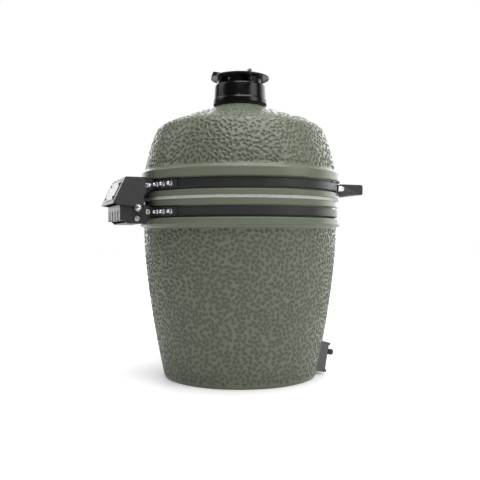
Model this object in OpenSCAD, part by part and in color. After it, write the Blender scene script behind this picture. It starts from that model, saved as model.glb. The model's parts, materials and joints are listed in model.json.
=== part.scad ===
// Egg-shaped ceramic charcoal grill: a domed lid hinged at the back of a round base.
// Origin at the middle of the underside, +Z up, the front (handle, draft door) towards -Y.

/* [Body] */
// Outer diameter of the two rim flanges
flange_d = 530; // [500:5:560]
// Wall thickness of the ceramic
wall = 26; // [20:1:32]
// Diameter of the flat underside
foot_d = 388; // [360:1:400]

/* [Bands] */
// Height of each steel band
band_h = 18.6; // [16:0.2:22]
// Thickness of each steel band
band_t = 3; // [2:0.5:3]
// Half of the angle that a clamp plate reaches from the back
clamp_reach = 34.6; // [32:0.2:40]
// Spacing of the nuts on a clamp plate, in degrees
nut_step = 5.8; // [5:0.1:6]

/* [Hinge] */
// Half width of the hinge cover
cover_half = 90.5; // [88.5:0.5:96]
// Distance of the pivot behind the grill's axis
pivot_y = 294.7; // [293:0.1:297]
// Height of the pivot
pivot_z = 434.3; // [433:0.1:436]
// Diameter of the pivot pin
pin_d = 10; // [8:1:11]

/* [Handle] */
// Half width of the handle between its arms' outer faces
handle_half = 106; // [95:1:112]
// Distance of the handle's front face from the grill's axis
handle_reach = 316; // [305:1:330]

/* [Draft door] */
// Width of the draft frame
frame_w = 176; // [170:1:184]
// Height of the draft frame
frame_h = 80; // [76:1:84]
// Width of the air opening
draft_w = 112; // [90:1:116]
// Height of the air opening
draft_h = 44; // [30:1:48]

/* [Top vent] */
// Diameter of the vent cap
cap_d = 157.6; // [150:0.2:165]
// Number of windows round the vent neck
windows = 6; // [4:1:6]

/* [Grates] */
// Diameter of the cooking grid
grid_d = 412; // [380:1:414]
// Spacing of the cooking grid's bars
bar_step = 15; // [12:1:24]

/* [Hidden] */
$fn = 96;

glaze = "#6e7867";
clay = "#b9a284";
black_steel = "#333335";
bright_steel = "#c4c6c8";
felt = "#b5b3ad";
iron = "#1d1d1e";

flange_r = flange_d / 2;
gap = 0.3;
// Heights of the base, its band groove and its rim
base_flange_z = 393;
lower_groove_z = 410.7;
lower_groove_top = 440.1;
base_rim_z = 455.2;
// Heights of the gaskets, and of the lid's rim, groove and flange
gasket_t = 3.3;
lid_rim_z = 462.3;
upper_groove_z = 476.5;
upper_groove_top = 506.9;
lid_flange_top = 530;
neck_z = 711;
rim_r = 0.985 * flange_r;
groove_r = 251;
mouth_r = 230;
neck_bore = 51;
// The bands sit on thin pads in the grooves
pad_t = 3.2;
band_in = groove_r + pad_t + 0.3;
band_out = band_in + band_t;
clamp_in = band_out + gap;
clamp_t = 3;
clamp_out = clamp_in + clamp_t;
clamp_start = 9.5;
clamp_h = 22.4;
strap_in = clamp_out + gap;
strap_out = strap_in + clamp_t;
strap_angle = 16.2;
arm_strap_angle = 15;
lower_band_z = 425.5;
upper_band_z = 492.1;
first_nut = 18.5;
nut_m6 = 10;
nut_m8 = 13;
rest_gap = 0.3;
// Hinge sheet metal
sheet = 2.5;
cover_r = cover_half;
bracket_r = cover_half - 5.7;
tab_r = 74;
bend_y = 279;
tab_y = 251;
arm_x = 43;
arm_t = 6;
bush_r = 8;
pin_r = pin_d / 2;
running = 0.05;
// Draft assembly: a frame tilted with the wall at the front of the base
draft_y = 211;
draft_z = 45;
draft_lean = 10.5;
face_y = 3;
lip_y = 6.6;
lip_t = 1.5;
rail_z = frame_h / 2 - 4;
screen_y = 3.3;
door_y = 4.7;
door_t = 1.5;
knob_x = -70;
knob_z = 14;
// Thermometer: square to the dome's front slope
thermo_y = 172;
thermo_z = 671;
thermo_tilt = 21;
thermo_r = 35;
needle_rest = 135;
// Top vent
collar_z = 716.5;
body_top_z = 768;
vent_neck_r = 61.3;
window_z = 771;
window_h = 11;
cap_z = 787;
cap_rise = 9;

// ---------- curves ----------
function bezier(a, b, c, d, n) = [for (i = [0:n]) let (t = i / n, s = 1 - t)
    s * s * s * a + 3 * s * s * t * b + 3 * s * t * t * c + t * t * t * d];
function arc(cx, cy, r, from, to, n) = [for (i = [0:n]) let (a = from + (to - from) * i / n)
    [cx + r * cos(a), cy + r * sin(a)]];
function grown(points, by) = [for (p = points) [p[0] + by, p[1]]];

foot_r = foot_d / 2;
base_curve = bezier([foot_r + 11.6, 24.3], [foot_r + 40.7, 155.9], [flange_r - 11.9, 290.8],
    [flange_r - 10.6, 387], 14);
base_inner = bezier([foot_r - 20, 50], [foot_r + 14, 155.9], [flange_r - 38, 290.8],
    [flange_r - 37, 380], 12);
dome_wall = bezier([flange_r - 9.7, 520], [flange_r - 17.2, 560.1], [flange_r - 24.7, 600.5],
    [flange_r - 42.2, 640.6], 12);
dome_top = bezier([flange_r - 42.2, 640.6], [flange_r - 51.5, 661.7], [156.2, 675.3],
    [66.2, neck_z - 0.3], 16);
dome_wall_in = bezier([mouth_r, lid_rim_z], [flange_r - 42, 555], [flange_r - 48, 592],
    [flange_r - 66, 626], 10);
dome_top_in = bezier([flange_r - 66, 626], [flange_r - 78, 645], [150, 650],
    [neck_bore, 684], 12);

base_outer = concat([[0, 0]], arc(foot_r, 8, 8, -90, -12.5, 5), base_curve);

module base_outside(by = 0) {
    rotate_extrude($fn = 120)
        polygon(concat([[0, -by]], grown(base_outer, by), [[0, 387]]));
}

// ---------- small shapes ----------
module ring(inner, outer, z0, z1) {
    translate([0, 0, z0]) difference() {
        cylinder(r = outer, h = z1 - z0, $fn = 180);
        translate([0, 0, -1]) cylinder(r = inner, h = z1 - z0 + 2, $fn = 180);
    }
}

module rounded_rect(w, h, r) {
    square([w - 2 * r, h], center = true);
    square([w, h - 2 * r], center = true);
    for (x = [-1, 1], y = [-1, 1])
        translate([x * (w / 2 - r), y * (h / 2 - r)]) circle(r = r, $fn = 32);
}

// A ring piece between two angles measured from the back towards +X
module sector(inner, outer, z0, z1, from, to) {
    translate([0, 0, z0]) rotate([0, 0, 90 - to])
        rotate_extrude(angle = to - from, $fn = 180)
            translate([inner, 0]) square([outer - inner, z1 - z0]);
}

module both_sides() {
    children();
    mirror([1, 0, 0]) children();
}

// Domed cap nut standing on the XY plane with its washer
module acorn_nut(af) {
    cylinder(r = af * 0.66, h = 1.2, $fn = 36);
    translate([0, 0, 1.2]) {
        cylinder(r = af / sqrt(3), h = af * 0.5, $fn = 6);
        translate([0, 0, af * 0.5]) {
            cylinder(r = af * 0.44, h = af * 0.2, $fn = 36);
            translate([0, 0, af * 0.2]) intersection() {
                sphere(r = af * 0.44, $fn = 36);
                cylinder(r = af, h = af, $fn = 36);
            }
        }
    }
}

// Puts a child, standing on +Z, on the outside of a band at an angle from the back
module on_band(angle, r, z) {
    rotate([0, 0, -angle]) translate([0, r, z]) rotate([-90, 0, 0]) children();
}

module band(z) {
    sector(band_in, band_out, z - band_h / 2, z + band_h / 2, 8, 352);
}

module band_pad(z) {
    ring(groove_r + 0.1, groove_r + pad_t, z - band_h / 2 + 1, z + band_h / 2 - 1);
}

module clamp_plates(z) {
    mid = (clamp_start + clamp_reach) / 2;
    chord = 2 * clamp_out * sin((clamp_reach - clamp_start) / 2);
    both_sides() intersection() {
        ring(clamp_in, clamp_out, z - clamp_h, z + clamp_h);
        rotate([0, 0, -mid]) translate([0, flange_r + 20, z]) rotate([90, 0, 0])
            linear_extrude(80) rounded_rect(chord, clamp_h, 4);
    }
}

module clamp_nuts(z) {
    for (i = [0:2]) both_sides()
        on_band(first_nut + i * nut_step, clamp_out, z) acorn_nut(nut_m6);
}

module strap_nuts(z) {
    both_sides() on_band(5, strap_out, z) acorn_nut(nut_m8);
}

// ---------- base ----------
module base_shell() {
    color(glaze) difference() {
        rotate_extrude($fn = 180) polygon(concat(base_outer, [
            [flange_r - 6, base_flange_z - 2], [flange_r - 2, base_flange_z],
            [flange_r, base_flange_z + 3], [flange_r, lower_groove_z - 2],
            [flange_r - 2, lower_groove_z], [groove_r, lower_groove_z],
            [groove_r, lower_groove_top], [rim_r - 3, lower_groove_top],
            [rim_r - 1.5, lower_groove_top + 1.5], [rim_r - 1.5, base_rim_z - 1.5],
            [rim_r - 3, base_rim_z], [mouth_r, base_rim_z], [mouth_r, 404]],
            [for (i = [12:-1:0]) base_inner[i]], [[foot_r - 34, wall], [0, wall]]));
        draft_place() translate([-draft_w / 2, -30, -draft_h / 2 + 2])
            cube([draft_w, 90, draft_h]);
        frame_screws() translate([0, 0, -30]) cylinder(r = 2.6, h = 60, $fn = 32);
    }
}

module base_gasket() {
    color(felt) ring(mouth_r + 4, rim_r - 0.4, base_rim_z, base_rim_z + gasket_t);
}

module lower_band() {
    color(black_steel) band(lower_band_z);
}

module lower_band_pad() {
    color(felt) band_pad(lower_band_z);
}

module lower_clamp_plates() {
    color(black_steel) clamp_plates(lower_band_z);
}

module lower_clamp_nuts() {
    color(bright_steel) clamp_nuts(lower_band_z);
}

module lower_strap_nuts() {
    color(bright_steel) strap_nuts(lower_band_z);
}

// ---------- fire box and grates ----------
module fire_box() {
    color(clay) difference() {
        rotate_extrude($fn = 120) polygon([[150, wall], [162, wall + 12], [198, 252], [198, 264],
            [180, 264], [176, 256], [138, 116], [127, 111], [126, 100], [108, 100], [108, 86],
            [124, 80], [120, wall]]);
        translate([-draft_w / 2 - 6, -220, wall - 1]) cube([draft_w + 12, 130, 54]);
        for (i = [0:7]) rotate([0, 0, 22.5 + i * 45]) translate([0, 120, 150])
            rotate([-90, 0, 0]) cylinder(r = 9, h = 90, $fn = 36);
    }
}

module fire_ring() {
    color(clay) rotate_extrude($fn = 120) polygon([[184, 264], [200, 264], [208, 276], [211, 418],
        [207, 422], [193, 422], [190, 418], [188, 280]]);
}

module charcoal_grate() {
    color(iron) translate([0, 0, 100]) difference() {
        cylinder(r = 125, h = 10, $fn = 120);
        for (ring_no = [1:3], i = [0:ring_no * 6 - 1])
            rotate([0, 0, i * 60 / ring_no]) translate([ring_no * 33, 0, -1])
                cylinder(r = 9, h = 12, $fn = 32);
        translate([0, 0, -1]) cylinder(r = 9, h = 12, $fn = 32);
    }
}

module cooking_grid() {
    r = grid_d / 2;
    bars = floor((r - 8) / bar_step);
    color(bright_steel) translate([0, 0, 422 + rest_gap]) {
        ring(r - 6, r, 0, 6);
        for (i = [-bars:bars]) let (half = sqrt(pow(r - 3, 2) - pow(i * bar_step, 2)))
            translate([i * bar_step - 2, -half, 1]) cube([4, 2 * half, 4]);
        translate([-r + 3, -3, 0]) cube([2 * r - 6, 6, 3]);
    }
}

// ---------- draft door ----------
module draft_place() {
    translate([0, -draft_y, draft_z]) rotate([draft_lean, 0, 0]) children();
}

module box_at(x0, x1, y0, y1, z0, z1) {
    translate([x0, y0, z0]) cube([x1 - x0, y1 - y0, z1 - z0]);
}

// The four screws stand on the frame's face, pointing inwards
module frame_screws() {
    draft_place() for (x = [-1, 1], z = [-1, 1])
        translate([x * (draft_w / 2 + 14), -face_y, z * 25]) rotate([90, 0, 0]) children();
}

module draft_frame() {
    w = frame_w / 2;
    h = frame_h / 2;
    color(black_steel) difference() {
        draft_place() {
            difference() {
                box_at(-w, w, -face_y, 24, -h, h);
                box_at(-w + 2, w - 2, -face_y + 2, 25, -h + 2, h - 2);
            }
            for (side = [-1, 1]) {
                z_in = side * rail_z;
                translate([-w, -lip_y - lip_t, min(z_in, z_in + side * 3)])
                    cube([2 * w, lip_y + lip_t - face_y + 0.5, 3]);
                translate([-w, -lip_y - lip_t, min(z_in - side * 4, z_in + side * 3)])
                    cube([2 * w, lip_t, 7]);
            }
            for (x = [-1, 1], z = [-1, 1]) translate([x * (draft_w / 2 + 14), -face_y + 1, z * 25])
                rotate([-90, 0, 0]) cylinder(r = 5, h = 18, $fn = 32);
        }
        base_outside(gap);
        draft_place() translate([0, -face_y - 1, 2]) rotate([-90, 0, 0])
            linear_extrude(20) rounded_rect(draft_w, draft_h, 4);
        frame_screws() translate([0, 0, -30]) cylinder(r = 2.6, h = 40, $fn = 32);
    }
}

module draft_frame_screws() {
    color(bright_steel) frame_screws() translate([0, 0, -26]) cylinder(r = 2.5, h = 26, $fn = 32);
}

module ash_screen() {
    color(bright_steel) draft_place() {
        difference() {
            box_at(-60, 82, -screen_y - 1, -screen_y, -rail_z + 0.4, rail_z - 0.4);
            for (i = [-5:5], k = [-3:3])
                translate([i * 9 + (k % 2 == 0 ? 0 : 4.5), -screen_y + 1, k * 7.5 + 2])
                    rotate([90, 0, 0]) cylinder(r = 2.6, h = 4, $fn = 20);
        }
        box_at(76, 78, -18, -screen_y, -12, 12);
    }
}

module draft_door() {
    color(black_steel) draft_place() difference() {
        box_at(-84, 62, -door_y - door_t, -door_y, -rail_z + 0.4, rail_z - 0.4);
        translate([knob_x, -door_y + 1, knob_z]) rotate([90, 0, 0]) cylinder(r = 2.6, h = 5, $fn = 32);
    }
}

module draft_knob() {
    color(black_steel) draft_place() translate([knob_x, -door_y - door_t, knob_z]) rotate([90, 0, 0])
        rotate_extrude($fn = 48) polygon(concat([[0, -door_t], [2.5, -door_t], [2.5, 0], [4.5, 0],
            [4.5, 4], [7, 5]], arc(6.6, 6.6, 1.4, -60, 0, 3), arc(6.6, 18.6, 1.4, 0, 90, 4),
            [[0, 20]]));
}

// ---------- lid ----------
module dome_shell() {
    lid_flange = concat([[mouth_r, lid_rim_z], [rim_r, lid_rim_z],
        [rim_r + 1, lid_rim_z + 1.5], [rim_r + 1, upper_groove_z - 1.5],
        [rim_r - 1, upper_groove_z], [groove_r, upper_groove_z],
        [groove_r, upper_groove_top], [flange_r - 1.5, upper_groove_top],
        [flange_r, upper_groove_top + 2]], arc(flange_r - 7, lid_flange_top - 7, 7, 0, 60, 5));
    color(glaze) difference() {
        rotate_extrude($fn = 180) polygon(concat(lid_flange,
            [for (p = dome_wall) if (p[1] > lid_flange_top + 4) p],
            [for (i = [1:16]) dome_top[i]], [[62, neck_z], [neck_bore, neck_z]],
            [for (i = [12:-1:0]) dome_top_in[i]], [for (i = [9:-1:1]) dome_wall_in[i]]));
        thermo_place() translate([0, 0, -60]) cylinder(r = 8, h = 90, $fn = 48);
    }
}

module dome_gasket() {
    color(felt) ring(mouth_r + 4, rim_r, lid_rim_z - gasket_t, lid_rim_z);
}

module upper_band() {
    color(black_steel) band(upper_band_z);
}

module upper_band_pad() {
    color(felt) band_pad(upper_band_z);
}

module upper_clamp_plates() {
    color(black_steel) clamp_plates(upper_band_z);
}

module upper_clamp_nuts() {
    color(bright_steel) clamp_nuts(upper_band_z);
}

module upper_strap_nuts() {
    color(bright_steel) strap_nuts(upper_band_z);
}

// ---------- hinge ----------
// Side sheet of the hinge in plan: straight, then bent inwards to the band
module side_sheet(half, back_y) {
    both_sides() linear_extrude(200) polygon([[half, back_y], [half, bend_y], [tab_r, tab_y],
        [tab_r - sheet, tab_y], [half - sheet, bend_y + 1.2], [half - sheet, back_y]]);
}

// Keeps the children's part inside a profile drawn in the YZ plane
module profile_yz(points) {
    translate([-150, 0, 0]) rotate([90, 0, 90]) linear_extrude(300) polygon(points);
}

module pivot_bore(r) {
    translate([-150, pivot_y, pivot_z]) rotate([0, 90, 0]) cylinder(r = r, h = 300, $fn = 64);
}

module hinge_bracket() {
    color(black_steel) difference() {
        union() {
            intersection() {
                translate([0, 0, 360]) side_sheet(bracket_r, 337.5);
                profile_yz([[337.4, 443], [337.4, 404], [329, 404], [320, 396.7], [273.5, 396.7],
                    [265, 410], [262, 413], [tab_y, 416], [tab_y, 436], [262, 438.5], [280, 443]]);
            }
            sector(strap_in, strap_out, lower_band_z - 11, lower_band_z + 11, -strap_angle, strap_angle);
            box_at(-bracket_r + 1, bracket_r - 1, 279, 320, 396.7, 396.7 + sheet);
        }
        pivot_bore(pin_r + 0.05);
        ring(0, strap_in, 380, 460);
    }
}

module hinge_grille() {
    w = bracket_r - sheet - 0.2;
    color(black_steel) difference() {
        union() {
            box_at(-w, w, 337.4 - sheet, 337.4, 404, 443);
            box_at(-w, w, 322, 337.4, 404, 404 + sheet);
        }
        for (i = [-2:1]) translate([(i + 0.5) * 37 - 5, 328, 400]) cube([10, 20, 28.5]);
    }
}

// Stands its children on the bent part of a side sheet, at a distance behind the axis
module on_bend(half, y, z) {
    slope = (half - tab_r) / (bend_y - tab_y);
    translate([tab_r + (y - tab_y) * slope + 0.02, y, z]) rotate([0, 0, -atan(slope)])
        rotate([0, 90, 0]) children();
}

module bracket_bolt() {
    rotate_extrude($fn = 40)
        polygon([[0, 0], [6.6, 0], [6.6, 1], [5.6, 2.2], [3.6, 2.4], [3, 1.6], [0, 1.6]]);
}

module hinge_bracket_bolts() {
    color(bright_steel) both_sides() {
        on_bend(bracket_r, 269, 425.1) bracket_bolt();
        translate([bracket_r, 296.3, 408.9]) rotate([0, 90, 0]) bracket_bolt();
    }
}

module hinge_pin() {
    color(bright_steel) translate([-cover_half - 2, pivot_y, pivot_z]) rotate([0, 90, 0])
        cylinder(r = pin_r, h = 2 * cover_half + 4, $fn = 64);
}

module hinge_pin_nuts() {
    color(bright_steel) both_sides() translate([cover_half + 2, pivot_y, pivot_z])
        rotate([0, 90, 0]) acorn_nut(nut_m8);
}

// Coil of round wire wound about the X axis, as one closed tube
module coil(r, wire, length, turns) {
    steps = turns * 14;
    sides = 6;
    points = [for (i = [0:steps], k = [0:sides - 1])
        let (a = i * 360 / 14, q = r + wire * cos(k * 360 / sides))
        [length * i / steps + wire * sin(k * 360 / sides), q * cos(a), q * sin(a)]];
    skin = [for (i = [0:steps - 1], k = [0:sides - 1]) let (n = (k + 1) % sides)
        [i * sides + k, i * sides + n, (i + 1) * sides + n, (i + 1) * sides + k]];
    ends = [[for (k = [sides - 1:-1:0]) k], [for (k = [0:sides - 1]) steps * sides + k]];
    polyhedron(points = points, faces = concat(skin, ends), convexity = 10);
}

module hinge_springs() {
    color(bright_steel) both_sides() translate([5, pivot_y, pivot_z]) coil(11, 2, 27, 5);
}

module hinge_arms() {
    color(black_steel) difference() {
        union() {
            both_sides() translate([arm_x - arm_t / 2, 0, 0]) rotate([90, 0, 90])
                linear_extrude(arm_t) {
                    polygon([[strap_out - 7, 482], [strap_out - 7, 502], [strap_out + 8, 502],
                        [306, 440], [285, 429]]);
                    translate([pivot_y, pivot_z]) circle(r = 13, $fn = 48);
                }
            sector(strap_in, strap_out, upper_band_z - 11, upper_band_z + 11,
                -arm_strap_angle, arm_strap_angle);
        }
        ring(0, strap_in, 450, 520);
        pivot_bore(bush_r);
    }
}

module hinge_bushes() {
    color("#a8844a") both_sides() translate([arm_x - arm_t / 2 - 1, pivot_y, pivot_z])
        rotate([0, 90, 0]) difference() {
            cylinder(r = bush_r - 0.02, h = arm_t + 2, $fn = 64);
            translate([0, 0, -1]) cylinder(r = pin_r + running, h = arm_t + 4, $fn = 64);
        }
}

module hinge_cover() {
    color(black_steel) difference() {
        union() {
            intersection() {
                translate([0, 0, 360]) side_sheet(cover_r, 356);
                union() {
                    profile_yz([[325, 508.8], [355, 445.4], [302.7, 438], [280.4, 440], [280.4, 469.3],
                        [274.3, 470], [tab_y, 484.6], [tab_y, 503], [262, 508.8]]);
                    pivot_ear();
                }
            }
            profile_slab([[325, 508.8], [355, 445.4], [352.7, 444.3], [323.4, 506.3],
                [268, 506.3], [268, 508.8]]);
        }
        ring(0, flange_r + 1.5, upper_groove_top - 2, upper_groove_top + 10);
        pivot_bore(pin_r + running);
    }
}

module pivot_ear() {
    translate([-150, pivot_y, pivot_z]) rotate([0, 90, 0]) cylinder(r = 10, h = 300, $fn = 48);
}

module profile_slab(points) {
    translate([-cover_r + 1, 0, 0]) rotate([90, 0, 90]) linear_extrude(2 * cover_r - 2) polygon(points);
}

module hinge_cover_nuts() {
    color(bright_steel) both_sides() on_bend(cover_r, 272, 489) acorn_nut(nut_m6);
}

// The blank plate lies on the cover's sloping back
module cover_back_place() {
    slope = atan2(355 - 325, 508.8 - 445.4);
    translate([0, 340, 477.1]) rotate([-90 + slope, 0, 0]) translate([0, 0, 0.02]) children();
}

module blank_plate() {
    color(bright_steel) cover_back_place() difference() {
        linear_extrude(1.5) rounded_rect(124, 50, 4);
        plate_corners() translate([0, 0, -1]) cylinder(r = 2.1, h = 4, $fn = 32);
    }
}

module plate_corners() {
    for (x = [-1, 1], y = [-1, 1]) translate([x * 54, y * 18, 0]) children();
}

module blank_plate_screws() {
    color(iron) cover_back_place() plate_corners() {
        cylinder(r = 2, h = 1.5, $fn = 32);
        translate([0, 0, 1.5]) cylinder(r = 3.2, h = 1.6, $fn = 32);
    }
}

// ---------- handle ----------
module handle_arms() {
    z0 = 478.4;
    h = 27;
    color(black_steel) difference() {
        union() {
            both_sides() {
                box_at(handle_half - 4, handle_half, -handle_reach + 6, -236, z0, z0 + h);
                sector(clamp_in, clamp_out, upper_band_z - 9, upper_band_z + 9, 149, 165);
            }
        }
        ring(0, clamp_in, 470, 510);
        ring(0, flange_r + 0.4, upper_groove_top - 3, 520);
        ring(0, rim_r + 1.4, 470, upper_groove_z + 3);
    }
}

module handle_bar() {
    z0 = 478.4;
    color(black_steel) rotate([90, 0, 90]) translate([0, 0, -handle_half + 4])
        linear_extrude(2 * handle_half - 8)
            translate([-handle_reach + 13, z0 + 13.5]) rounded_rect(26, 27, 5);
}

module handle_nuts() {
    color(bright_steel) both_sides() on_band(180 - 26.2, clamp_out, upper_band_z)
        acorn_nut(nut_m8);
}

// ---------- thermometer ----------
module thermo_place() {
    translate([0, -thermo_y, thermo_z]) rotate([thermo_tilt, 0, 0]) children();
}

module thermometer_case() {
    color(iron) thermo_place() rotate_extrude($fn = 72) polygon([[3.2, 5], [30, 5], [34, 7],
        [thermo_r, 9], [thermo_r, 16], [33.5, 17.5], [31.5, 17.5], [31.5, 8], [3.2, 8]]);
}

module thermometer_dial() {
    color("#e8e8e4") thermo_place() difference() {
        translate([0, 0, 8]) cylinder(r = 31, h = 1.5, $fn = 72);
        translate([0, 0, 7]) cylinder(r = 3.2, h = 4, $fn = 32);
    }
}

module thermometer_lens() {
    color("#dfe8ea") thermo_place() translate([0, 0, 14.5]) cylinder(r = 31.3, h = 1.5, $fn = 72);
}

module thermometer_needle() {
    color("#b03a2a") thermo_place() {
        translate([0, 0, 10.5]) linear_extrude(0.8) {
            rotate([0, 0, needle_rest]) polygon([[-1.6, -8], [1.6, -8], [0.5, 26], [-0.5, 26]]);
            circle(r = 3.4, $fn = 32);
        }
        translate([0, 0, -70]) cylinder(r = 1.2, h = 80.6, $fn = 24);
    }
}

module thermometer_bushing() {
    color(bright_steel) thermo_place() rotate_extrude($fn = 48) polygon([[1.25, -100], [3, -100],
        [3, -40], [7.8, -40], [7.8, 1.4], [12, 1.4], [12, 5], [3.1, 5], [3.1, 8], [1.25, 8]]);
}

module thermometer_nut() {
    color(bright_steel) thermo_place() translate([0, 0, -31]) difference() {
        cylinder(r = 14, h = 5, $fn = 6);
        translate([0, 0, -1]) cylinder(r = 7.85, h = 7, $fn = 48);
    }
}

// ---------- top vent ----------
module vent_seal() {
    color(iron) rotate_extrude($fn = 120) polygon([[53, neck_z], [67, neck_z], [69.5, 712.6],
        [69.5, collar_z], [53, collar_z]]);
}

module window_cuts(r) {
    for (i = [0:windows - 1]) rotate([0, 0, i * 360 / windows - 180 / windows / 2])
        rotate_extrude(angle = 180 / windows, $fn = 96)
            translate([r - 6, window_z]) square([12, window_h]);
}

module vent_collar() {
    color(iron) difference() {
        union() {
            rotate_extrude($fn = 120) polygon([[54, collar_z], [71.6, collar_z], [72.6, 718],
                [72.6, 727], [70.4, 733], [68.6, 764], [67, body_top_z], [vent_neck_r, body_top_z],
                [vent_neck_r, 785.6], [58.4, 785.6], [58.4, 764], [62, 760], [62, 722],
                [54, 722]]);
            for (i = [0:2]) rotate([0, 0, 90 + i * 120]) translate([0, -3, 757])
                cube([63, 6, 6]);
            translate([0, 0, 754]) cylinder(r = 9, h = 12, $fn = 48);
        }
        window_cuts(60);
        translate([0, 0, 740]) cylinder(r = 4 + running, h = 40, $fn = 48);
    }
}

// A fin of that thickness on the cap, outwards along X
module cap_fin(thickness) {
    rotate([90, 0, 0]) translate([0, 0, -thickness / 2]) linear_extrude(thickness) children();
}

module vent_cap() {
    rim = cap_d / 2;
    color(iron) difference() {
        union() {
            rotate_extrude($fn = 120) polygon([[0, cap_z + cap_rise - 2.6], [20, cap_z + cap_rise - 3],
                [50, cap_z + cap_rise - 6], [rim - 5, cap_z + 2], [rim - 4, cap_z], [rim - 1, cap_z],
                [rim, cap_z + 1.5], [rim, cap_z + 3], [rim - 2, cap_z + 4.4],
                [50, cap_z + cap_rise - 2.4], [20, cap_z + cap_rise], [0, cap_z + cap_rise]]);
            for (i = [0, 180]) rotate([0, 0, i]) cap_fin(5.4)
                polygon([[57, cap_z + 6], [60, cap_z + 10], [63, cap_z + 11.6], [rim - 5, cap_z + 12],
                    [rim - 1, cap_z + 9], [rim + 1, cap_z + 2], [rim - 1.5, cap_z - 4],
                    [rim - 7, cap_z + 1], [rim - 7, cap_z + 3]]);
            for (i = [0, 180]) rotate([0, 0, i]) cap_fin(3.8)
                polygon([[rim - 6, cap_z], [rim - 1, cap_z], [rim - 3, cap_z - 30], [rim - 5, cap_z - 30]]);
            for (i = [90, 270]) rotate([0, 0, i]) cap_fin(7)
                polygon([[56, cap_z + 6], [57, cap_z + 12.6], [58, cap_z + 13.6], [rim - 3, cap_z + 14],
                    [rim + 1, cap_z + 4], [rim + 1, cap_z + 1], [rim - 6, cap_z + 1]]);
        }
        translate([0, 0, 740]) cylinder(r = 4 + running, h = 80, $fn = 48);
    }
}

module vent_shutter() {
    color(iron) difference() {
        translate([0, 0, 767]) difference() {
            cylinder(r = 58, h = 24.5, $fn = 96);
            translate([0, 0, -1]) cylinder(r = 55, h = 30, $fn = 96);
        }
        window_cuts(56.5);
        rotate_extrude($fn = 96) polygon([[20, cap_z + cap_rise - 3.1], [50, cap_z + cap_rise - 6.1],
            [cap_d / 2 - 5, cap_z + 1.9], [cap_d / 2, cap_z + 30], [20, cap_z + 30]]);
    }
}

module vent_bolt() {
    color(bright_steel) {
        translate([0, 0, 744]) cylinder(r = 4, h = cap_z + cap_rise - 744, $fn = 48);
        translate([0, 0, cap_z + cap_rise]) acorn_nut(nut_m8);
        translate([0, 0, 744]) cylinder(r = 7.5, h = 6, $fn = 6);
    }
}

base_shell();
base_gasket();
lower_band();
lower_band_pad();
lower_clamp_plates();
lower_clamp_nuts();
hinge_bracket();
hinge_grille();
hinge_bracket_bolts();
lower_strap_nuts();
hinge_pin();
hinge_pin_nuts();
hinge_springs();
fire_box();
fire_ring();
charcoal_grate();
cooking_grid();
draft_frame();
draft_frame_screws();
ash_screen();
draft_door();
draft_knob();
dome_shell();
dome_gasket();
upper_band();
upper_band_pad();
upper_clamp_plates();
upper_clamp_nuts();
hinge_arms();
hinge_bushes();
upper_strap_nuts();
hinge_cover();
hinge_cover_nuts();
blank_plate();
blank_plate_screws();
handle_arms();
handle_bar();
handle_nuts();
thermometer_case();
thermometer_dial();
thermometer_lens();
thermometer_needle();
thermometer_bushing();
thermometer_nut();
vent_seal();
vent_collar();
vent_cap();
vent_shutter();
vent_bolt();
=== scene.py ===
"""Looks for the egg-shaped ceramic charcoal grill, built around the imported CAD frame.

The two glazed shells are turned again here with their pressed dimples, the gaskets, springs, grid
and dial print are made as what they are, and every CAD piece gets rounded edges and its finish.
"""

import json
import math
import random
from itertools import product

import bpy
import numpy as np
from mathutils import Matrix, Vector
from mathutils.geometry import delaunay_2d_cdt


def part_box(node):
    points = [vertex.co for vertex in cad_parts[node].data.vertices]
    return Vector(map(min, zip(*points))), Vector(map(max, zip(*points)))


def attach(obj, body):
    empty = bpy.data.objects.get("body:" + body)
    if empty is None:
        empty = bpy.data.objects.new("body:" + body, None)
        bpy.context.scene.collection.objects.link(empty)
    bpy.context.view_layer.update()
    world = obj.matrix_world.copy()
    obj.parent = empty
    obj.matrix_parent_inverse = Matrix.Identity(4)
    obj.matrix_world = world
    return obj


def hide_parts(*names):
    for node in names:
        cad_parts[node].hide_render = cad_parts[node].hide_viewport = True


MM = 0.001

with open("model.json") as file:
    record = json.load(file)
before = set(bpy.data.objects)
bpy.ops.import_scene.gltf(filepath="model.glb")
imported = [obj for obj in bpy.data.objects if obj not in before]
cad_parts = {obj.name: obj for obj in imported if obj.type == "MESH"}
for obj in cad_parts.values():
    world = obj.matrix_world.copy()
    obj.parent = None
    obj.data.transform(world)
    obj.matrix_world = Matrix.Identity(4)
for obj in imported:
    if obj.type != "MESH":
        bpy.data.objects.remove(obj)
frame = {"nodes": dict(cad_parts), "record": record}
NODES = frame["nodes"]
RECORD = frame["record"]
BODY_OF = {name: body for body, names in RECORD["behaviour"]["bodies"].items() for name in names}
SLOT_OF = {part["node"]: part["material_slot"] for part in RECORD["subparts"]}
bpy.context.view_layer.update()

# Driving sizes in millimetres, as in the CAD
FLANGE_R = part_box("base_shell")[1].x / MM
FOOT_R = 194
WALL = 26
RIM_R = 0.985 * FLANGE_R
GROOVE_R = 251
MOUTH_R = 230
NECK_BORE = 51
NECK_Z = 711
BASE_RIM_Z = 455.2
LID_RIM_Z = 462.3
LOWER_GROOVE = (410.7, 440.1)
UPPER_GROOVE = (476.5, 506.9)
SEGMENTS = 240


# ---------- outlines ----------
def bezier(a, b, c, d, count):
    """Points of a cubic curve from a to d, both ends included."""
    t = np.linspace(0, 1, count + 1)[:, None]
    a, b, c, d = (np.array(p, float) for p in (a, b, c, d))
    return ((1 - t) ** 3 * a + 3 * (1 - t) ** 2 * t * b + 3 * (1 - t) * t**2 * c + t**3 * d).tolist()


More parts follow.
